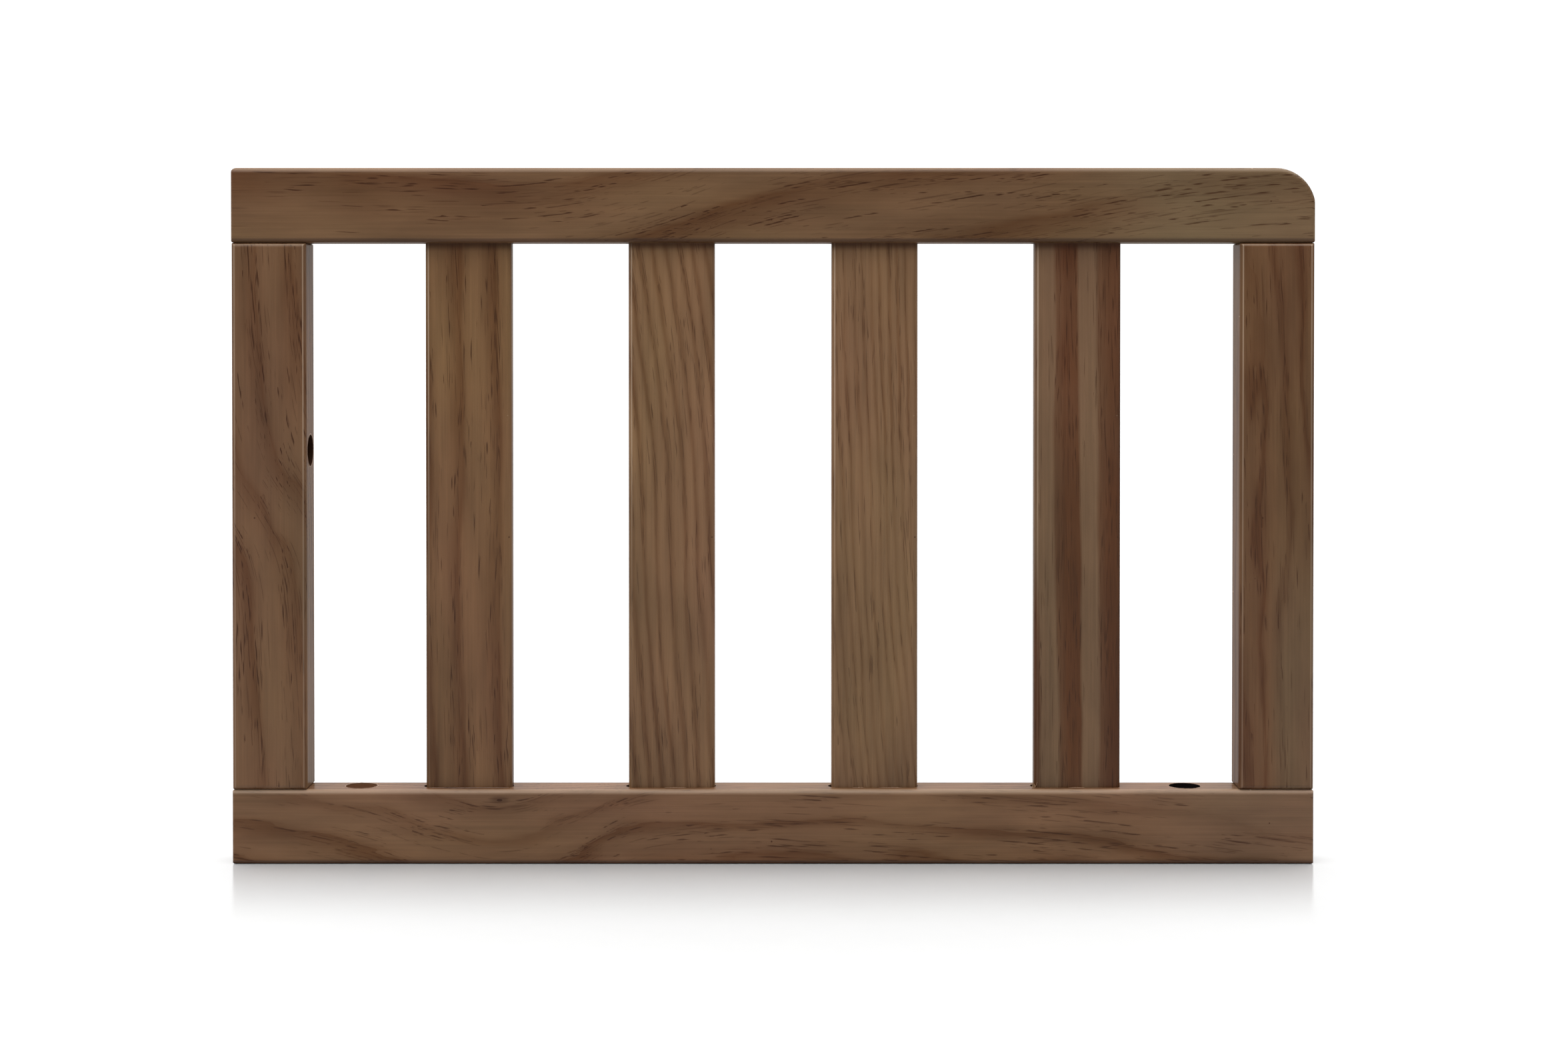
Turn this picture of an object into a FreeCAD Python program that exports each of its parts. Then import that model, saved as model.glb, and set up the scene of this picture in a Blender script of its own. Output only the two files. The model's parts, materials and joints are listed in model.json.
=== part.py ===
import FreeCAD, Part
import os

# A slatted guard rail of pine boards: a top rail and a bottom rail, an end post
# at each end between them, and four thin slats in routed mortises.
#
# Frame, in millimetres: +X runs along the rail, +Y from the front face to the
# back face, and +Z up. The origin is under the middle of the bottom rail, on
# the surface that the rail stands on.

Vector = FreeCAD.Vector
X_AXIS = Vector(1, 0, 0)
Y_AXIS = Vector(0, 1, 0)
Z_AXIS = Vector(0, 0, 1)

# Overall sizes
overall_length = 680.0
overall_height = 438.0
board_thickness = 28.0

# Rails and posts
rail_height = 47.0
post_width = 47.0
edge_round = 3.0          # routed rounding of the edges at the front and the back
end_ease = 1.4            # lighter rounding, by sanding, of the edges at the board ends
top_corner_radius = 25.4  # large round corner at the top right
top_corner_trim = 0.8     # the end is cut this much short of that corner's tangent
top_left_radius = 3.5     # small round corner at the top left

# Slats
slat_count = 4
slat_width = 54.3
slat_thickness = 13.0
slat_edge_round = 3.0
tenon_length = 12.0

# Mortises, a little larger than the tenons
mortise_play_left = 2.0
mortise_play_right = 0.6
mortise_face_gap = 0.1
mortise_end_gap = 1.0

# Dowels in the post joints
dowel_diameter = 8.0
dowel_length = 40.0
dowel_spacing = 22.0
dowel_chamfer = 1.0
dowel_side_gap = 0.1
dowel_end_gap = 1.0

# Brads through the tenons, driven from the back
brad_diameter = 1.2
brad_length = 19.0
brad_head_diameter = 2.0
brad_head_height = 0.8
brad_sink = 0.3
brad_side_gap = 0.02
brad_height_in_tenon = 6.0

# Bolt holes, each a counterbore for the head and a clearance hole for the shank
bolt_hole_diameter = 7.0
head_hole_diameter = 20.0
head_hole_depth = 25.0
rail_bolt_inset = 79.0
post_bolt_height = 260.0

# Places that follow from the sizes
half_length = overall_length / 2
half_thickness = board_thickness / 2
top_rail_base = overall_height - rail_height
inner_span = overall_length - 2 * post_width
slat_gap = (inner_span - slat_count * slat_width) / (slat_count + 1)
slat_pitch = slat_width + slat_gap
first_slat_x = -half_length + post_width + slat_gap + slat_width / 2
slat_centres = [first_slat_x + index * slat_pitch for index in range(slat_count)]
post_centre = half_length - post_width / 2
rail_bolt_x = half_length - rail_bolt_inset
blank_margin = 4 * edge_round
same_place = 1e-6


def box(low, high):
    """A box between its lowest and its highest corner."""
    size = high - low
    return Part.makeBox(size.x, size.y, size.z, low)


def edges_along(shape, axis):
    """The straight edges of a shape that run along an axis."""
    found = []
    for edge in shape.Edges:
        ends = [vertex.Point for vertex in edge.Vertexes]
        if len(ends) != 2:
            continue
        run = ends[1] - ends[0]
        if run.Length - abs(run.dot(axis)) < same_place:
            found.append(edge)
    return found


def round_edges(shape, axis, radius, wanted):
    """Round the straight edges along an axis whose middles pass a test."""
    edges = [edge for edge in edges_along(shape, axis) if wanted(edge.CenterOfMass)]
    return shape.makeFillet(radius, edges)


def rounded_prism(low, high, axis, radius):
    """A box whose four edges along one axis are rounded."""
    return round_edges(box(low, high), axis, radius, lambda middle: True)


def eased_board(low, high, round_x, round_y, round_z):
    """A board whose edges along X, Y and Z each have their own rounding."""
    board = rounded_prism(low, high, X_AXIS, round_x)
    board = board.common(rounded_prism(low, high, Y_AXIS, round_y))
    return board.common(rounded_prism(low, high, Z_AXIS, round_z))


def stadium(centre_x, length, width, base, height):
    """An upright prism with half-round ends, centred in the thickness of the rail."""
    radius = width / 2
    half = length / 2 - radius
    left = Vector(centre_x - half, 0, base)
    right = Vector(centre_x + half, 0, base)
    side = Vector(0, radius, 0)
    tip = Vector(radius, 0, 0)
    outline = Part.Wire([
        Part.LineSegment(left - side, right - side).toShape(),
        Part.Arc(right - side, right + tip, right + side).toShape(),
        Part.LineSegment(right + side, left + side).toShape(),
        Part.Arc(left + side, left - tip, left - side).toShape(),
    ])
    return Part.Face(outline).extrude(Vector(0, 0, height))


def mortise(centre_x, base, height):
    """The routed slot for one tenon. It is longer on the left than on the right."""
    length = slat_width + mortise_play_left + mortise_play_right
    shift = (mortise_play_right - mortise_play_left) / 2
    width = slat_thickness + 2 * mortise_face_gap
    return stadium(centre_x + shift, length, width, base, height)


def cylinder(start, axis, diameter, length):
    """A cylinder from a start point along an axis."""
    return Part.makeCylinder(diameter / 2, length, start, axis)


def bolt_hole(mouth, inward, depth_of_board):
    """A counterbore from its mouth, and the clearance hole on through the board."""
    head = cylinder(mouth, inward, head_hole_diameter, head_hole_depth)
    shank = cylinder(mouth, inward, bolt_hole_diameter, depth_of_board)
    return head.fuse(shank)


def dowel_places():
    """Name, X and middle height of every dowel."""
    places = []
    for level, height in (("top", top_rail_base), ("bottom", rail_height)):
        for side, sign in (("left", -1), ("right", 1)):
            for row, offset in (("outer", 1), ("inner", -1)):
                x = sign * (post_centre + offset * dowel_spacing / 2)
                places.append((f"dowel_{level}_{side}_{row}", x, height))
    return places


def dowel(x, height):
    """One dowel, half in the post and half in the rail, with chamfered ends."""
    start = Vector(x, 0, height - dowel_length / 2)
    shape = cylinder(start, Z_AXIS, dowel_diameter, dowel_length)
    rims = [edge for edge in shape.Edges if edge.Closed]
    return shape.makeChamfer(dowel_chamfer, rims)


def dowel_hole(x, height):
    """The hole for one dowel, through both boards of its joint."""
    length = dowel_length + 2 * dowel_end_gap
    start = Vector(x, 0, height - length / 2)
    return cylinder(start, Z_AXIS, dowel_diameter + 2 * dowel_side_gap, length)


def brad_places():
    """Name, X and height of every brad."""
    places = []
    top = top_rail_base + brad_height_in_tenon
    foot = rail_height - brad_height_in_tenon
    for level, height in (("top", top), ("bottom", foot)):
        for index, x in enumerate(slat_centres):
            places.append((f"brad_{level}_{index + 1}", x, height))
    return places


def brad(x, height, gap):
    """One brad, or with a gap the hole that it leaves in the wood."""
    head_start = Vector(x, half_thickness - brad_sink, height)
    head = cylinder(head_start, -Y_AXIS, brad_head_diameter + 2 * gap, brad_head_height)
    shank = cylinder(head_start, -Y_AXIS, brad_diameter + 2 * gap, brad_length + gap)
    return head.fuse(shank)


def brad_hole(x, height):
    """The hole of one brad, open at the back of the rail."""
    mouth = Vector(x, half_thickness, height)
    recess = cylinder(mouth, -Y_AXIS, brad_head_diameter + 2 * brad_side_gap, brad_sink)
    return recess.fuse(brad(x, height, brad_side_gap))


def cut_all(shape, tools):
    """A shape less every one of the tools."""
    for tool in tools:
        shape = shape.cut(tool)
    return shape


def rail_cuts(slot_base):
    """The mortises, the dowel holes and the brad holes of a rail."""
    cuts = [mortise(x, slot_base, tenon_length + mortise_end_gap) for x in slat_centres]
    cuts += [dowel_hole(x, height) for name, x, height in dowel_places()]
    cuts += [brad_hole(x, height) for name, x, height in brad_places()]
    return cuts


def routed_blank():
    """The top rail before its ends are cut: one large corner, rounded front and back."""
    middle_height = top_rail_base + rail_height / 2
    blank = box(
        Vector(-half_length - blank_margin, -half_thickness, top_rail_base),
        Vector(half_length + top_corner_trim, half_thickness, overall_height),
    )
    blank = round_edges(
        blank, Y_AXIS, top_corner_radius,
        lambda middle: middle.x > 0 and middle.z > middle_height,
    )
    routed = [
        edge for edge in blank.Edges
        if abs(abs(edge.CenterOfMass.y) - half_thickness) < same_place
        and edge.CenterOfMass.x > -half_length - blank_margin + same_place
    ]
    return blank.makeFillet(edge_round, routed)


def top_rail():
    """The top rail, with its large corner at the right and a small one at the left."""
    middle_height = top_rail_base + rail_height / 2
    low = Vector(-half_length, -half_thickness, top_rail_base)
    high = Vector(half_length, half_thickness, overall_height)
    corners = round_edges(
        box(low, high), Y_AXIS, end_ease,
        lambda middle: middle.z < middle_height,
    )
    corners = round_edges(
        corners, Y_AXIS, top_left_radius,
        lambda middle: middle.x < -half_length + same_place and middle.z > middle_height,
    )
    shape = routed_blank().common(rounded_prism(low, high, Z_AXIS, end_ease)).common(corners)
    return cut_all(shape, rail_cuts(top_rail_base))


def bottom_rail():
    """The bottom rail, with its two bolt holes down from the top face."""
    low = Vector(-half_length, -half_thickness, 0)
    high = Vector(half_length, half_thickness, rail_height)
    shape = eased_board(low, high, edge_round, end_ease, end_ease)
    slot_base = rail_height - tenon_length - mortise_end_gap
    shape = cut_all(shape, rail_cuts(slot_base))
    for x in (-rail_bolt_x, rail_bolt_x):
        shape = shape.cut(bolt_hole(Vector(x, 0, rail_height), -Z_AXIS, rail_height))
    return shape


def post(side):
    """An end post, rounded on every edge that shows at the front and the back."""
    low = Vector(side * post_centre - post_width / 2, -half_thickness, rail_height)
    high = Vector(side * post_centre + post_width / 2, half_thickness, top_rail_base)
    shape = eased_board(low, high, edge_round, end_ease, edge_round)
    holes = [dowel_hole(x, height) for name, x, height in dowel_places() if x * side > 0]
    return cut_all(shape, holes)


def left_post():
    """The left post, with a bolt hole through it from its inner face."""
    inner_face = -half_length + post_width
    hole = bolt_hole(Vector(inner_face, 0, post_bolt_height), -X_AXIS, post_width)
    return post(-1).cut(hole)


def slat(centre_x):
    """One slat, with a round-edged tenon at each end."""
    low = Vector(centre_x - slat_width / 2, -slat_thickness / 2, rail_height)
    high = Vector(centre_x + slat_width / 2, slat_thickness / 2, top_rail_base)
    shape = rounded_prism(low, high, Z_AXIS, slat_edge_round)
    foot = stadium(centre_x, slat_width, slat_thickness, rail_height - tenon_length, tenon_length)
    head = stadium(centre_x, slat_width, slat_thickness, top_rail_base, tenon_length)
    shape = shape.fuse(foot).fuse(head)
    holes = [
        brad(x, height, brad_side_gap) for name, x, height in brad_places()
        if abs(x - centre_x) < slat_width / 2
    ]
    return cut_all(shape, holes)


def build():
    """Every piece of the guard rail, by name."""
    pieces = {
        "top_rail": top_rail(),
        "bottom_rail": bottom_rail(),
        "left_post": left_post(),
        "right_post": post(1),
    }
    for index, x in enumerate(slat_centres):
        pieces[f"slat_{index + 1}"] = slat(x)
    for name, x, height in dowel_places():
        pieces[name] = dowel(x, height)
    for name, x, height in brad_places():
        pieces[name] = brad(x, height, 0)
    return pieces


os.makedirs("parts", exist_ok=True)
for piece_name, piece in build().items():
    piece.exportStep(f"parts/{piece_name}.step")
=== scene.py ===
import json
import math
import random

import bmesh
import bpy
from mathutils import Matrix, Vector


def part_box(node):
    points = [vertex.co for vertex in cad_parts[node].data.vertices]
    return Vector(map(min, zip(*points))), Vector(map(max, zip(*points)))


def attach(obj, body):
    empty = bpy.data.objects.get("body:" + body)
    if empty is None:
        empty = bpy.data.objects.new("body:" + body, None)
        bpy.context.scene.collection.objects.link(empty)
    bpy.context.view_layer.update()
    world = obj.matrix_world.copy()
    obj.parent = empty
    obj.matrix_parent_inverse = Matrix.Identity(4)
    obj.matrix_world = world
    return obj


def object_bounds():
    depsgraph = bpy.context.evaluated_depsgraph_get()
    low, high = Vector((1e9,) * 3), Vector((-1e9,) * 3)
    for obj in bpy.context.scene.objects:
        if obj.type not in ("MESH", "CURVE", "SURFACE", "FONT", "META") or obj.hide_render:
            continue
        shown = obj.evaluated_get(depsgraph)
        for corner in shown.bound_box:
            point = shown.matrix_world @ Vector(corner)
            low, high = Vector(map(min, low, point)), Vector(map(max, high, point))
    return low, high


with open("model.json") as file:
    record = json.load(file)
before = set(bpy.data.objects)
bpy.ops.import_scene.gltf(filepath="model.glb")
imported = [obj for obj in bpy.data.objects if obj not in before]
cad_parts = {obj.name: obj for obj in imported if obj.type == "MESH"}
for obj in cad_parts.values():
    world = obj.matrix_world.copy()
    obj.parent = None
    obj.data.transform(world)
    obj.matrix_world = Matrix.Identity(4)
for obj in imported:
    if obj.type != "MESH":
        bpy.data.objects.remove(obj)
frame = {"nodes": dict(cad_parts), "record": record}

# The guard rail's looks: stained pine boards on a pale floor under soft studio light.
# Metres, in the part's own frame: +X along the rail, +Y to the back, +Z up.

cad_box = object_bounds()
MM = 0.001


# ---------------------------------------------------------------- node graphs

class Graph:
    """A short way to write a shader's nodes as sums."""

    def __init__(self, tree):
        self.tree = tree

    def node(self, kind, **settings):
        made = self.tree.nodes.new(kind)
        for name, value in settings.items():
            setattr(made, name, value)
        return made

    def put(self, socket, value):
        if isinstance(value, bpy.types.NodeSocket):
            self.tree.links.new(value, socket)
        elif value is not None:
            socket.default_value = value

    def math(self, operation, a, b=None, c=None, clamp=False):
        made = self.node("ShaderNodeMath", operation=operation, use_clamp=clamp)
        for socket, value in zip(made.inputs, (a, b, c)):
            self.put(socket, value)
        return made.outputs[0]

    def add(self, a, b):
        return self.math("ADD", a, b)

    def minus(self, a, b):
        return self.math("SUBTRACT", a, b)

    def times(self, a, b):
        return self.math("MULTIPLY", a, b)

    def point(self, x, y, z):
        made = self.node("ShaderNodeCombineXYZ")
        for socket, value in zip(made.inputs, (x, y, z)):
            self.put(socket, value)
        return made.outputs[0]

    def noise(self, place, scale=1.0, detail=2.0, roughness=0.5, distortion=0.0):
        made = self.node("ShaderNodeTexNoise")
        self.put(made.inputs["Vector"], place)
        made.inputs["Scale"].default_value = scale
        made.inputs["Detail"].default_value = detail
        made.inputs["Roughness"].default_value = roughness
        made.inputs["Distortion"].default_value = distortion
        return made.outputs["Fac"]

    def cells(self, place, scale=1.0):
        """How far each point is from its Voronoi cell's middle, and the cell's own random value."""
        made = self.node("ShaderNodeTexVoronoi", feature="F1")
        self.put(made.inputs["Vector"], place)
        made.inputs["Scale"].default_value = scale
        pick = self.node("ShaderNodeSeparateColor")
        self.put(pick.inputs[0], made.outputs["Color"])
        return made.outputs["Distance"], pick.outputs[0]

    def steps(self, value, low, high, to_low=0.0, to_high=1.0):
        made = self.node("ShaderNodeMapRange", interpolation_type="SMOOTHSTEP")
        for socket, item in zip(made.inputs, (value, low, high, to_low, to_high)):
            self.put(socket, item)
        return made.outputs["Result"]

    def ramp(self, value, stops):
        made = self.node("ShaderNodeValToRGB")
        self.put(made.inputs["Fac"], value)
        ramp = made.color_ramp
        while len(ramp.elements) < len(stops):
            ramp.elements.new(1.0)
        for element, (place, level) in zip(ramp.elements, stops):
            element.position = place
            element.color = (level, level, level, 1.0)
        return made.outputs["Color"]

    def mix(self, share, a, b, blend="MIX"):
        made = self.node("ShaderNodeMix", data_type="RGBA", blend_type=blend)
        self.put(made.inputs["Factor"], share)
        self.put(made.inputs["A"], a)
        self.put(made.inputs["B"], b)
        return made.outputs["Result"]


def new_material(name):
    """An empty node material, its graph and its Principled shader."""
    material = bpy.data.materials.new(name)
    material.use_nodes = True
    tree = material.node_tree
    return material, Graph(tree), tree.nodes["Principled BSDF"]


def rgb(red, green, blue):
    """A colour given in display values from 0 to 255, as the shader's linear light."""
    linear = [
        channel / 12.92 if channel <= 0.04045 else ((channel + 0.055) / 1.055) ** 2.4
        for channel in (red / 255, green / 255, blue / 255)
    ]
    return (*linear, 1.0)


# ---------------------------------------------------------------- stained pine

FLAME = ((0.0, 1.0), (0.12, 0.30), (0.34, 0.0), (0.60, 0.22), (0.86, 0.80), (1.0, 1.0))
LINES = ((0.0, 0.85), (0.25, 0.18), (0.50, 0.0), (0.70, 0.20), (0.88, 0.85), (1.0, 0.9))
BANDS = ((0.0, 1.0), (0.07, 0.05), (0.43, 0.0), (0.51, 0.70), (0.72, 1.0), (1.0, 1.0))

# How each board's figure runs. The grain line goes through these (along, across) places in
# millimetres from the board's middle. Rings are counted per metre across and in depth.
# Light and dark are the stained early and late wood. Sway is how far the grain wanders,
# uneven how much the rings differ, and lean where the resin dashes crowd. A rail's top front
# edge has a key for how much paler it is, partly stain thinned by wear and partly a painted
# highlight, and grey gives the places, in millimetres, between which a grey-green stain comes in.
BOARDS = {
    "top_rail": dict(
        along="X",
        grain=(
            (-340, -35), (-220, -36), (-150, -35), (-88, -23), (0, 6),
            (46, 15), (139, 31), (255, 53), (340, 62)),
        across=21.0, deep=150.0, start=0.95, profile=FLAME, sway=0.32, uneven=0.35,
        light=(98, 75, 55), dark=(72, 46, 28), dashes=0.90, lean=0.30,
        rub_and_highlight=0.13, grey=dict(along=(170, 260))),
    "bottom_rail": dict(
        along="X",
        grain=((-340, 12), (-260, -4), (-205, -22), (-170, -28), (-130, -16), (-70, 8), (60, 8), (340, -22)),
        across=42.0, deep=140.0, start=0.20, profile=FLAME, sway=0.80, uneven=0.50,
        light=(99, 74, 55), dark=(80, 54, 36), dashes=0.75, lean=0.05, knots=((-172, 17),),
        rub_and_highlight=0.28, grey=dict(along=(220, 300))),
    "left_post": dict(
        along="Z",
        grain=((-175, 24), (-98, 20), (-30, 13), (5, -4), (39, -23), (100, -36), (175, -42)),
        across=34.0, deep=130.0, start=0.95, profile=FLAME, sway=0.45, uneven=0.35,
        light=(96, 72, 53), dark=(80, 54, 36), dashes=0.90, lean=0.30),
    "right_post": dict(
        along="Z", grain=((-175, 5), (0, 1), (175, -5)),
        across=62.0, deep=60.0, start=0.75, profile=LINES, sway=1.10, uneven=0.50,
        light=(88, 64, 45), dark=(70, 44, 27), dashes=0.70, lean=0.0,
        grey=dict(along=(20, -110), across=(-8, 6))),
    "slat_1": dict(
        along="Z", grain=((-175, 3), (-60, 0), (60, 1), (175, -2)),
        across=47.0, deep=60.0, start=0.73, profile=FLAME, sway=0.35, uneven=0.15,
        light=(103, 77, 55), dark=(80, 53, 34), dashes=0.80, lean=0.0),
    "slat_2": dict(
        along="Z", grain=((-175, 16), (-60, 8), (60, 0), (175, -16)),
        across=118.0, deep=70.0, start=0.10, profile=LINES, sway=0.60, uneven=0.30,
        light=(108, 83, 61), dark=(85, 59, 39), dashes=0.45, lean=-0.10),
    "slat_3": dict(
        along="Z", grain=((-175, 16), (-60, 5), (60, 0), (175, -3)),
        across=185.0, deep=80.0, start=0.30, profile=LINES, sway=0.80, uneven=0.50,
        light=(107, 83, 61), dark=(91, 66, 45), dashes=0.45, lean=0.0),
    "slat_4": dict(
        along="Z", grain=((-175, 1), (0, 0), (175, -2)),
        across=36.4, deep=30.0, start=0.74, profile=BANDS, sway=0.12, uneven=0.10,
        light=(98, 76, 58), dark=(74, 45, 28), dashes=0.70, lean=-0.15),
}

# Dark brown of the resin dashes and knots; the edge code also uses it as painted shade.
RESIN_AND_SHADE = rgb(52, 31, 19)
# Pale for thin stain and nicks; the edge code also uses it as a painted highlight.
PALE_WEAR_AND_HIGHLIGHT = rgb(172, 152, 132)
GREY_STAIN = rgb(96, 84, 66)
FOOT_SHADE = 0.13      # how much darker a slat is at its foot
HALF_SPAN = 0.1        # metres: the grain curve's range on each side of the board's middle
EDGE_INSET = 0.0020    # metres: from a board's side to its painted highlight line
TOP_INSET = 0.0012     # metres: from a post's top to its painted highlight line
MARKS_PER_METRE = 80.0
DASH = dict(along=62.0, across=640.0, wander=6.0)
HAIR = dict(along=44.0, across=1150.0, wander=4.0)
COAT_WEIGHT = 0.27
COAT_ROUGHNESS = 0.24
BUMP_STRENGTH = 0.25
BUMP_DEPTH = 0.0002
BORE_SHARE = 0.97      # how fully the stain covers a bore's wall

# The bolt recesses are darker inside than the faces. The right one is nearly black.
BORE_STAINS = {
    "left_foot_head_recess": rgb(112, 80, 60),
    "right_foot_head_recess": rgb(12, 11, 13),
    "side_head_recess": rgb(40, 24, 16),
}


def recess(name):
    """A bolt recess and the bolt hole behind it, from the record's mounts."""
    mounts = {item["name"]: item for item in frame["record"]["mounts"]}
    mount = mounts[name]
    bolt = mounts[name.replace("head_recess", "bolt")]
    axis = "XYZ"[max(range(3), key=lambda i: abs(mount["axis"][i]))]
    board = "left_post" if axis == "X" else "bottom_rail"
    return dict(
        board=board, axis=axis, place=mount["pos_m"], radius=MM * mount["dims"]["r_mm"],
        half=MM * mount["dims"]["length_mm"] / 2, bolt_radius=MM * bolt["dims"]["r_mm"])


spec_of_hole = {name: recess(name) for name in BORE_STAINS}


def inside(graph, reach, radius):
    """One up to a bore's wall, and nothing a sixth of a millimetre beyond it."""
    return graph.steps(reach, radius + 0.00002, radius + 0.00016, BORE_SHARE, 0.0)


def bore_mask(graph, axes, hole):
    """One on the walls and floor of a recess and its bolt hole, and nothing on the board's faces."""
    square = None
    for name, middle in zip("XYZ", hole["place"]):
        off = graph.minus(axes[name], middle)
        if name == hole["axis"]:
            sunk = graph.math("ABSOLUTE", off)
        else:
            term = graph.times(off, off)
            square = term if square is None else graph.add(square, term)
    reach = graph.math("SQRT", square)
    above_floor = graph.steps(sunk, hole["half"] + 0.0001, hole["half"] + 0.0005, 1.0, 0.0)
    head = graph.times(inside(graph, reach, hole["radius"]), above_floor)
    return graph.math("MAXIMUM", head, inside(graph, reach, hole["bolt_radius"]))


def grain_curve(graph, along, reach, places):
    """The grain line's offset across the board, in metres, at each place along it."""
    curve = graph.node("ShaderNodeFloatCurve")
    line = curve.mapping.curves[0]
    knots = [((MM * x + reach) / (2 * reach), 0.5 + MM * y / (2 * HALF_SPAN)) for x, y in places]
    for spot in knots[1:-1]:
        line.points.new(*spot)
    for point, spot in zip(line.points, knots):
        point.location = spot
    curve.mapping.update()
    graph.put(curve.inputs["Value"], graph.math("MULTIPLY_ADD", along, 0.5 / reach, 0.5))
    return graph.math("MULTIPLY_ADD", curve.outputs["Value"], 2 * HALF_SPAN, -HALF_SPAN)


def edge_wear_and_painted_light(graph, board, stain, axes, along, across, reach):
    """Edge marks: on a rail's top front edge, stain thinned by wear plus a painted highlight, and painted
    shade on its lower front edge; on posts and slats, painted highlight lines along the front edges, and on
    slats a painted shadow under the top rail.
    """
    spec = BOARDS[board]
    low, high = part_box(board)
    from_front = graph.minus(axes["Y"], low.y)
    from_top = graph.minus(high.z, axes["Z"])
    from_foot = graph.minus(axes["Z"], low.z)
    if spec["along"] == "X":
        # A rail's top front edge made paler: partly stain thinned by wear, partly a painted highlight.
        edge = graph.steps(graph.add(from_front, from_top), 0.0016, 0.0036, spec["rub_and_highlight"], 0.0)
        stain = graph.mix(edge, stain, PALE_WEAR_AND_HIGHLIGHT)
        # A rail's lower front edge darkened: painted shade where the roundover turns away from the light
        # above.
        edge = graph.steps(graph.add(from_front, from_foot), 0.0018, 0.0034, 0.60, 0.0)
        return graph.mix(edge, stain, RESIN_AND_SHADE)

    half = (high.x - low.x) / 2
    on_front = graph.steps(from_front, 0.0004, 0.0012, 1.0, 0.0)
    slat = board.startswith("slat")
    # How strongly the painted highlight lines show on the front face; on slats they fade towards the foot.
    if slat:
        worn = graph.steps(along, -0.6 * reach, 0.7 * reach, 0.05, 0.42)
    else:
        worn = graph.steps(along, -reach, reach, 0.15, 0.34)
    worn = graph.times(worn, on_front)
    # Painted highlight lines where the front roundover starts: a slat's left side, and a post's two sides
    # and top.
    lines = [graph.add(across, half - EDGE_INSET)]
    if not slat:
        lines.append(graph.add(across, EDGE_INSET - half))
        lines.append(graph.minus(from_top, TOP_INSET))
    for line in lines:
        line = graph.steps(graph.math("ABSOLUTE", line), 0.0002, 0.0006, 1.0, 0.0)
        stain = graph.mix(graph.times(line, worn), stain, PALE_WEAR_AND_HIGHLIGHT)
    if slat:
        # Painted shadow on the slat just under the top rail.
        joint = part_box("top_rail")[0].z
        under = graph.minus(joint, axes["Z"])
        stain = graph.mix(graph.steps(under, 0.0004, 0.0060, 0.80, 0.0), stain, RESIN_AND_SHADE)
    return stain


def pin_marks(graph, stain, along, across, depth):
    """A few pin knots and pale nicks, half a millimetre to a millimetre wide."""
    distance, pick = graph.cells(graph.point(along, across, depth), MARKS_PER_METRE)
    body = graph.steps(distance, 0.030, 0.058, 1.0, 0.0)
    knots = graph.times(body, graph.math("GREATER_THAN", pick, 0.86))
    nicks = graph.times(body, graph.math("LESS_THAN", pick, 0.06))
    stain = graph.mix(graph.times(knots, 0.85), stain, RESIN_AND_SHADE)
    return graph.mix(graph.times(nicks, 0.60), stain, PALE_WEAR_AND_HIGHLIGHT)


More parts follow.
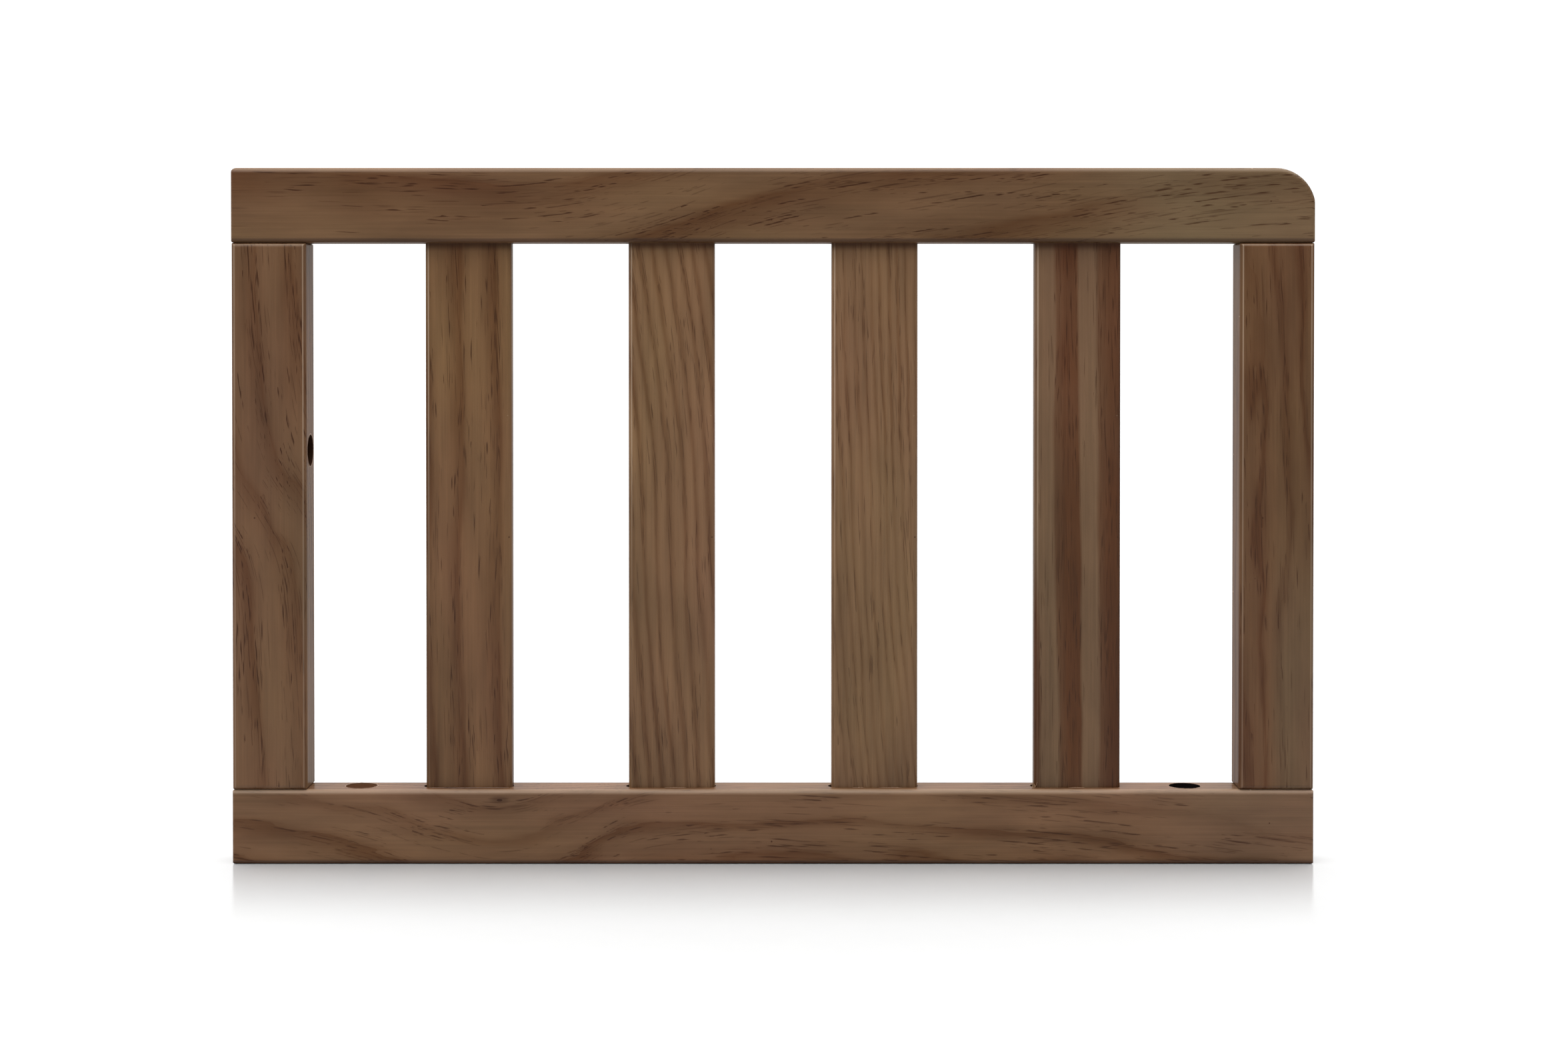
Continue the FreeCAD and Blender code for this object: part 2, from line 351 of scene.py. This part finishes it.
def stained_pine(board, seed):
    """Stained pine for one board: wavy rings through its whole depth, resin dashes and uneven stain."""
    spec = BOARDS[board]
    low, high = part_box(board)
    centre = (low + high) / 2
    material, graph, shader = new_material("pine_" + board)
    place = graph.node("ShaderNodeSeparateXYZ")
    graph.put(place.inputs[0], graph.node("ShaderNodeTexCoord").outputs["Object"])
    axes = dict(zip("XYZ", place.outputs))
    run, side = ("X", "Z") if spec["along"] == "X" else ("Z", "X")
    along = graph.minus(axes[run], getattr(centre, run.lower()))
    across = graph.minus(axes[side], getattr(centre, side.lower()))
    depth = axes["Y"]
    reach = (getattr(high, run.lower()) - getattr(low, run.lower())) / 2
    shift = 3.7 * (seed + 1)

    def field(stretch, spread, offset, detail=2.0, roughness=0.5):
        spot = graph.point(
            graph.times(along, stretch),
            graph.times(across, spread),
            graph.math("MULTIPLY_ADD", depth, spread, shift + offset),
        )
        return graph.noise(spot, 1.0, detail, roughness)

    sway = graph.minus(field(7.0, 32.0, 0.0), 0.5)
    ripple = graph.minus(field(26.0, 120.0, 5.0), 0.5)
    bend = grain_curve(graph, along, reach, spec["grain"])
    phase = graph.times(graph.minus(across, bend), spec["across"])
    phase = graph.math("MULTIPLY_ADD", depth, spec["deep"], phase)
    phase = graph.math("MULTIPLY_ADD", sway, 2.2 * spec["sway"], phase)
    phase = graph.math("MULTIPLY_ADD", ripple, 0.35 * spec["sway"], phase)
    phase = graph.add(phase, spec["start"] + 0.014 * spec["deep"] + 40.0)
    late = graph.ramp(graph.math("FRACT", phase), spec["profile"])
    ring = graph.node("ShaderNodeTexWhiteNoise", noise_dimensions="1D")
    graph.put(ring.inputs["W"], graph.add(graph.math("FLOOR", phase), shift))
    strength = graph.math("MULTIPLY_ADD", ring.outputs["Value"], spec["uneven"], 1.0 - spec["uneven"])
    patches = graph.steps(field(9.0, 14.0, 12.0), 0.30, 0.58, 1.0 - spec["uneven"], 1.15)
    strength = graph.times(strength, patches)
    late = graph.times(late, strength)

    fibre = field(14.0, 900.0, 1.0, 4.0, 0.65)
    strand = field(8.0, 260.0, 21.0, 3.0, 0.6)
    def dash_cells(size):
        """Long thin cells that follow the grain line and wander a little."""
        wander = graph.math("MULTIPLY_ADD", along, size["along"], shift)
        wander = graph.math("MULTIPLY_ADD", strand, size["wander"], wander)
        off_line = graph.times(graph.minus(across, bend), size["across"])
        return graph.cells(graph.point(wander, off_line, graph.times(depth, size["across"])))

    crowd = graph.math("MULTIPLY_ADD", late, 0.40, field(16.0, 60.0, 9.0))
    crowd = graph.math("MULTIPLY_ADD", along, spec["lean"], crowd)
    distance, pick = dash_cells(DASH)
    odds = graph.steps(crowd, 0.50, 0.84, 0.98, 0.50)
    dash_mark = graph.times(
        graph.steps(distance, 0.16, 0.46, 1.0, 0.0), graph.math("GREATER_THAN", pick, odds))
    distance, pick = dash_cells(HAIR)
    odds = graph.steps(crowd, 0.46, 0.84, 0.97, 0.40)
    hair_mark = graph.times(
        graph.steps(distance, 0.22, 0.52, 1.0, 0.0), graph.math("GREATER_THAN", pick, odds))

    blotch = field(11.0, 34.0, 4.0, 3.0, 0.55)
    warmth = field(5.0, 17.0, 2.0)

    late_share = graph.math("MULTIPLY", late, 0.95, clamp=True)
    stain = graph.mix(late_share, rgb(*spec["light"]), rgb(*spec["dark"]))
    if "grey" in spec:
        patch = graph.math("MULTIPLY_ADD", warmth, 0.5, 0.10)
        for way, place_on_board in (("along", along), ("across", across)):
            if way in spec["grey"]:
                start, full = spec["grey"][way]
                patch = graph.times(patch, graph.steps(place_on_board, MM * start, MM * full))
        stain = graph.mix(patch, stain, GREY_STAIN)
    stain = graph.mix(graph.times(hair_mark, 0.42), stain, RESIN_AND_SHADE)
    stain = graph.mix(graph.times(dash_mark, spec["dashes"]), stain, RESIN_AND_SHADE)
    for knot_along, knot_across in spec.get("knots", ()):
        off_along = graph.math("MULTIPLY_ADD", along, 0.45, -0.45 * MM * knot_along)
        off_across = graph.minus(across, MM * knot_across)
        away = graph.add(graph.times(off_along, off_along), graph.times(off_across, off_across))
        away = graph.math("MULTIPLY_ADD", strand, 0.0012, graph.math("SQRT", away))
        halo = graph.steps(away, 0.0018, 0.0042, 0.45, 0.0)
        core = graph.steps(away, 0.0012, 0.0019, 1.0, 0.0)
        stain = graph.mix(graph.math("MAXIMUM", halo, core), stain, RESIN_AND_SHADE)
    for hole, bore_colour in BORE_STAINS.items():
        if spec_of_hole[hole]["board"] == board:
            stain = graph.mix(bore_mask(graph, axes, spec_of_hole[hole]), stain, bore_colour)
    stain = edge_wear_and_painted_light(graph, board, stain, axes, along, across, reach)
    stain = pin_marks(graph, stain, along, across, depth)
    level = graph.math("MULTIPLY_ADD", graph.minus(blotch, 0.5), 0.75, 0.97)
    if board.startswith("slat"):
        level = graph.math("MULTIPLY_ADD", along, FOOT_SHADE / reach, level)
    level = graph.math("MULTIPLY_ADD", graph.minus(fibre, 0.5), 0.40, level)
    level = graph.math("MULTIPLY_ADD", graph.minus(strand, 0.5), 0.34, level)
    shaded = graph.node("ShaderNodeVectorMath", operation="SCALE")
    graph.put(shaded.inputs[0], stain)
    graph.put(shaded.inputs["Scale"], level)
    tinted = graph.node("ShaderNodeHueSaturation")
    tinted.inputs["Saturation"].default_value = 1.04
    hue = graph.math("MULTIPLY_ADD", graph.minus(warmth, 0.5), 0.03, 0.5)
    graph.put(tinted.inputs["Hue"], hue)
    graph.put(tinted.inputs["Color"], shaded.outputs[0])
    graph.put(shader.inputs["Base Color"], tinted.outputs[0])

    rough = graph.math("MULTIPLY_ADD", fibre, 0.16, 0.42)
    graph.put(shader.inputs["Roughness"], rough)
    shader.inputs["Specular IOR Level"].default_value = 0.0
    shader.inputs["Coat Weight"].default_value = COAT_WEIGHT
    shader.inputs["Coat Roughness"].default_value = COAT_ROUGHNESS
    bump = graph.node("ShaderNodeBump")
    bump.inputs["Strength"].default_value = BUMP_STRENGTH
    bump.inputs["Distance"].default_value = BUMP_DEPTH
    relief = graph.minus(fibre, graph.times(late, 0.3))
    relief = graph.minus(relief, graph.times(dash_mark, 0.8))
    graph.put(bump.inputs["Height"], relief)
    graph.put(shader.inputs["Normal"], bump.outputs[0])
    return material


def plain_material(name, colour, rough, metal=0.0):
    """A material with fine grain only, for the pieces inside the joints."""
    material, graph, shader = new_material(name)
    grain = graph.noise(graph.node("ShaderNodeTexCoord").outputs["Object"], 900.0, 3.0)
    shade = graph.node("ShaderNodeVectorMath", operation="SCALE")
    shade.inputs[0].default_value = colour[:3]
    graph.put(shade.inputs["Scale"], graph.math("MULTIPLY_ADD", grain, 0.4, 0.8))
    graph.put(shader.inputs["Base Color"], shade.outputs[0])
    graph.put(shader.inputs["Roughness"], graph.math("MULTIPLY_ADD", grain, 0.2, rough))
    shader.inputs["Metallic"].default_value = metal
    return material


def dress(node, material):
    """Give a CAD node its material."""
    mesh = frame["nodes"][node].data
    mesh.materials.clear()
    mesh.materials.append(material)


for seed, board in enumerate(BOARDS):
    dress(board, stained_pine(board, seed))
beech = plain_material("bare_beech", rgb(196, 160, 120), 0.6)
steel = plain_material("brad_steel", rgb(150, 150, 148), 0.3, 1.0)
for node in frame["nodes"]:
    if node.startswith("dowel"):
        dress(node, beech)
    if node.startswith("brad"):
        dress(node, steel)


# ---------------------------------------------------------------- small marks of making and wear

chance = random.Random(41)


def add_piece(name, build, material):
    """A new mesh piece, made by a function that fills a bmesh; it rides with the rail."""
    shape = bmesh.new()
    build(shape)
    bmesh.ops.recalc_face_normals(shape, faces=shape.faces[:])
    mesh = bpy.data.meshes.new(name)
    shape.to_mesh(mesh)
    shape.free()
    for face in mesh.polygons:
        face.use_smooth = True
    piece = bpy.data.objects.new(name, mesh)
    bpy.context.scene.collection.objects.link(piece)
    mesh.materials.append(material)
    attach(piece, "root")
    return piece


def skin(shape, rings):
    """Faces between each ring of points and the next."""
    for here, there in zip(rings, rings[1:]):
        for k in range(len(here)):
            shape.faces.new((here[k - 1], here[k], there[k], there[k - 1]))


def tube(shape, spine, sides):
    """A closed tapering tube through (place, half width, half height) stations."""
    loops = []
    for i, (place, wide, tall) in enumerate(spine):
        before = spine[max(i - 1, 0)][0]
        after = spine[min(i + 1, len(spine) - 1)][0]
        forward = (after - before).normalized()
        level = forward.cross(Vector((0.0, 0.0, 1.0)))
        level = level.normalized() if level.length > 1e-4 else Vector((1.0, 0.0, 0.0))
        upward = level.cross(forward).normalized()
        turn = [2 * math.pi * k / sides for k in range(sides)]
        loops.append([
            shape.verts.new(place + wide * math.cos(t) * level + tall * math.sin(t) * upward)
            for t in turn
        ])
    skin(shape, loops)
    shape.faces.new(loops[0])
    shape.faces.new(loops[-1])


def splinter(shape, root, tip, width):
    """One torn fibre: a flat sliver that bows a little and ends in a point."""
    steps = 7
    bow = Vector((chance.uniform(-1, 1), chance.uniform(-1, 1), 1.0)) * 0.12 * (tip - root).length
    spine = []
    for i in range(steps + 1):
        share = i / steps
        place = root.lerp(tip, share) + bow * math.sin(math.pi * share) * 0.5
        taper = (1.0 - share) ** 0.7 * min(1.0, 0.35 + 3 * share) + 0.03
        spine.append((place, width * taper, 0.35 * width * taper))
    tube(shape, spine, 6)


def bead(shape, start, end, size, lumps):
    """A squeezed-out run of glue: a low ridge whose width and height wander."""
    steps = 36
    spine = []
    for i in range(steps + 1):
        share = i / steps
        swell = max(math.sin(math.pi * share), 0.0) ** 0.5 + 0.02
        swell *= 1.0 + sum(a * math.sin(f * math.pi * share + p) for a, f, p in lumps)
        aside = 0.25 * size * math.sin(9.0 * share + lumps[0][2])
        place = start.lerp(end, share) + Vector((0.0, aside, 0.0))
        spine.append((place, max(size * swell, 0.00004), max(0.55 * size * swell, 0.00003)))
    tube(shape, spine, 10)


def ragged_rim(shape, middle, outward, radius, width, height):
    """Torn fibre round the mouth of a bored hole: a low closed ring of uneven width."""
    side = Vector((0.0, 1.0, 0.0))
    other = outward.cross(side)
    count = 72
    phases = [chance.uniform(0, 6.28) for _ in range(5)]
    rings = []
    for i in range(count):
        turn = 2 * math.pi * i / count
        rough = sum(math.sin(f * turn + p) for f, p in zip((2, 3, 7, 11, 17), phases)) / 5
        reach = width * max(0.25, 0.65 + 0.9 * rough)
        lift = height * max(0.3, 0.7 + 0.8 * rough)
        ray = math.cos(turn) * side + math.sin(turn) * other
        profile = (
            (-0.00010, -0.00015), (0.0, 0.7 * lift), (0.35 * reach, lift),
            (reach, 0.1 * lift), (reach, -0.00010))
        rings.append([
            shape.verts.new(middle + ray * (radius + out) + outward * up) for out, up in profile
        ])
    skin(shape, rings + rings[:1])


def bare_fibre(name, light, dark):
    """Torn pine fibre where the stain is thin."""
    material, graph, shader = new_material(name)
    grain = graph.noise(graph.node("ShaderNodeTexCoord").outputs["Object"], 1400.0, 4.0)
    graph.put(shader.inputs["Base Color"], graph.mix(grain, rgb(*dark), rgb(*light)))
    graph.put(shader.inputs["Roughness"], graph.math("MULTIPLY_ADD", grain, 0.2, 0.55))
    return material


pale_fibre = bare_fibre("pale_fibre", (196, 164, 130), (128, 96, 68))
glue_fibre = bare_fibre("glue_fibre", (132, 102, 76), (84, 58, 40))
torn_fibre = bare_fibre("torn_fibre", (96, 68, 48), (60, 40, 27))

rail_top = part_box("bottom_rail")[1].z
for number in range(1, 5):
    low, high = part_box(f"slat_{number}")
    front = low.y

    def foot_glue(shape):
        """Short runs of glue where the slat's front face meets the rail."""
        for _ in range(5 if number == 1 else 3):
            start = chance.uniform(low.x + 0.004, high.x - 0.016)
            length = chance.uniform(0.006, 0.012)
            lumps = [(chance.uniform(0.1, 0.35), f, chance.uniform(0, 6.28)) for f in (3, 7, 13)]
            place = Vector((start, front - 0.0001, rail_top + 0.0001))
            bead(shape, place, place + Vector((length, 0.0, 0.0)), chance.uniform(0.00022, 0.00038), lumps)

    add_piece(f"slat_{number}_foot_glue", foot_glue, glue_fibre)


def slat_1_torn_foot(shape):
    """Fibre torn out of the mortise's front edge at the first slat: a flat ragged flap with loose ends."""
    low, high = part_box("slat_1")
    count = 60
    phases = [chance.uniform(0, 6.28) for _ in range(4)]
    rows = []
    for i in range(count + 1):
        share = i / count
        ragged = sum(math.sin(f * share + p) for f, p in zip((19, 37, 61, 97), phases)) / 4
        tip = max(1.0 - abs(share - 0.32) / (0.30 if share < 0.32 else 0.68), 0.0)
        out = 0.0003 + 0.0036 * tip ** 1.6 + 0.0004 * ragged * min(1.0, 4 * tip)
        lift = 0.00022 + 0.00010 * ragged
        x = low.x + 0.002 + share * (high.x - low.x - 0.004)
        section = (
            (0.0002, -0.0001), (0.0002, 1.6 * lift), (-0.4 * out, lift),
            (-0.8 * out, 1.2 * lift), (-out, -0.0001))
        rows.append([shape.verts.new(Vector((x, low.y + y, rail_top + z))) for y, z in section])
    skin(shape, rows)
    shape.faces.new(rows[0])
    shape.faces.new(rows[-1])
    for _ in range(9):
        root = Vector((low.x + chance.uniform(0.010, 0.030), low.y - 0.0008, rail_top + 0.0002))
        tip = root + Vector((chance.uniform(-0.004, 0.004), chance.uniform(-0.0026, -0.0012), 0.0004))
        splinter(shape, root, tip, 0.00026)


def slat_4_splinters(shape):
    """Pale splinters that stand up at the fourth slat's left foot."""
    low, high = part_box("slat_4")
    for _ in range(6):
        foot = (chance.uniform(-0.0012, 0.0008), chance.uniform(-0.0006, 0.001))
        root = Vector((low.x + foot[0], low.y + foot[1], rail_top - 0.0003))
        rise = (chance.uniform(-0.003, 0.002), chance.uniform(-0.0015, 0.0), chance.uniform(0.0012, 0.0045))
        splinter(shape, root, root + Vector(rise), 0.00030)


add_piece("slat_1_torn_foot", slat_1_torn_foot, torn_fibre)
add_piece("slat_4_splinters", slat_4_splinters, pale_fibre)

for name, width, height in (
    ("left_foot_head_recess", 0.0011, 0.00028),
    ("right_foot_head_recess", 0.0007, 0.00020),
    ("side_head_recess", 0.0008, 0.00020),
):
    hole = spec_of_hole[name]
    if hole["axis"] == "Z":
        mouth = Vector((hole["place"][0], hole["place"][1], rail_top))
        outward = Vector((0.0, 0.0, 1.0))
    else:
        mouth = Vector((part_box("left_post")[1].x, hole["place"][1], hole["place"][2]))
        outward = Vector((1.0, 0.0, 0.0))
    add_piece(
        name.replace("head_recess", "recess_rim"),
        lambda shape: ragged_rim(shape, mouth, outward, hole["radius"], width, height),
        glue_fibre,
    )


# ---------------------------------------------------------------- studio

FLOOR_WIDTH = 60.0
FLOOR_GREYS = (0.405, 0.415)
MIRROR_SHARE = 0.36        # at the rail's foot
MIRROR_REACH = 0.170       # metres from the foot to where the mirror has gone
MIRROR_ROUGHNESS = 0.16
KEY_PLACE = (-0.6, -2.2, 1.6)
KEY_TARGET = (0.0, 0.0, 0.20)
KEY_SIZE = (1.6, 1.0)
KEY_POWER = 12.0
SENSOR_WIDTH = 36.0
LENS = 57.1
LENS_SHIFT = -0.10
CAMERA_ASIDE = 0.0069
CAMERA_AWAY = 1.560        # metres in front of the rail's front face
CAMERA_HEIGHT = 0.335
CAMERA_DOWN = 0.78         # degrees below level


def floor():
    """A wide pale floor, matt but for a faint mirror that fades out round the rail's foot."""
    material, graph, shader = new_material("pale_floor")
    graph.tree.nodes.remove(shader)
    place = graph.node("ShaderNodeTexCoord").outputs["Object"]
    mottle = graph.noise(place, 60.0, 3.0)
    matt = graph.node("ShaderNodeBsdfDiffuse")
    greys = [(grey, grey, grey, 1.0) for grey in FLOOR_GREYS]
    graph.put(matt.inputs["Color"], graph.mix(mottle, *greys))
    gloss = graph.node("ShaderNodeBsdfGlossy")
    gloss.inputs["Roughness"].default_value = MIRROR_ROUGHNESS
    axes = graph.node("ShaderNodeSeparateXYZ")
    graph.put(axes.inputs[0], place)
    beyond = [
        graph.math("MAXIMUM", graph.minus(graph.math("ABSOLUTE", axes.outputs[name]), half), 0.0)
        for name, half in (("X", cad_box[1].x), ("Y", cad_box[1].y))
    ]
    away = graph.math("SQRT", graph.add(*(graph.times(part, part) for part in beyond)))
    blend = graph.node("ShaderNodeMixShader")
    graph.put(blend.inputs[0], graph.steps(away, 0.0, MIRROR_REACH, MIRROR_SHARE, 0.0))
    graph.put(blend.inputs[1], matt.outputs[0])
    graph.put(blend.inputs[2], gloss.outputs[0])
    graph.put(graph.tree.nodes["Material Output"].inputs["Surface"], blend.outputs[0])
    bpy.ops.mesh.primitive_plane_add(size=FLOOR_WIDTH, location=(0.0, 0.0, cad_box[0].z))
    plane = bpy.context.object
    plane.name = "studio_floor"
    plane.data.materials.append(material)


def area_light(name, place, target, width, height, power):
    """A soft box that points at a target."""
    data = bpy.data.lights.new(name, "AREA")
    data.shape = "RECTANGLE"
    data.size = width
    data.size_y = height
    data.energy = power
    lamp = bpy.data.objects.new(name, data)
    lamp.location = place
    lamp.rotation_euler = (Vector(target) - Vector(place)).to_track_quat("-Z", "Y").to_euler()
    bpy.context.scene.collection.objects.link(lamp)


def studio_world():
    """White all round to the eye. It lights most from above, then from behind and the left."""
    world = bpy.data.worlds.new("studio")
    world.use_nodes = True
    graph = Graph(world.node_tree)
    for node in list(world.node_tree.nodes):
        world.node_tree.nodes.remove(node)
    direction = graph.node("ShaderNodeSeparateXYZ")
    graph.put(direction.inputs[0], graph.node("ShaderNodeTexCoord").outputs["Generated"])
    behind = direction.outputs["Y"]
    low = graph.steps(behind, -0.4, 0.6, 0.08, 1.10)
    raised = graph.steps(direction.outputs["Z"], 0.08, 0.15)
    low = graph.add(low, graph.times(raised, graph.steps(behind, 0.3, 0.8, 0.0, 0.4)))
    low = graph.add(low, graph.steps(direction.outputs["X"], -0.9, -0.3, 0.8, 0.0))
    high = graph.steps(behind, -0.4, 0.4, 4.2, 4.0)
    share = graph.steps(direction.outputs["Z"], 0.50, 0.82)
    level = graph.add(graph.times(share, high), graph.times(graph.minus(1.0, share), low))
    seen = graph.node("ShaderNodeLightPath").outputs["Is Camera Ray"]
    strength = graph.math("MAXIMUM", level, seen)
    background = graph.node("ShaderNodeBackground")
    background.inputs["Color"].default_value = (1.0, 1.0, 1.0, 1.0)
    graph.put(background.inputs["Strength"], strength)
    output = graph.node("ShaderNodeOutputWorld")
    graph.put(output.inputs["Surface"], background.outputs[0])
    bpy.context.scene.world = world


def camera():
    """The camera looks along +Y from a little above the rail's middle, almost level."""
    data = bpy.data.cameras.new("camera")
    data.sensor_width = SENSOR_WIDTH
    data.lens = LENS
    data.shift_y = LENS_SHIFT
    eye = bpy.data.objects.new("camera", data)
    eye.location = (CAMERA_ASIDE, cad_box[0].y - CAMERA_AWAY, CAMERA_HEIGHT)
    eye.rotation_euler = (math.radians(90.0 - CAMERA_DOWN), 0.0, 0.0)
    bpy.context.scene.collection.objects.link(eye)
    bpy.context.scene.camera = eye


floor()
area_light("key", KEY_PLACE, KEY_TARGET, *KEY_SIZE, KEY_POWER)
studio_world()
camera()
bpy.context.scene.view_settings.view_transform = "Standard"
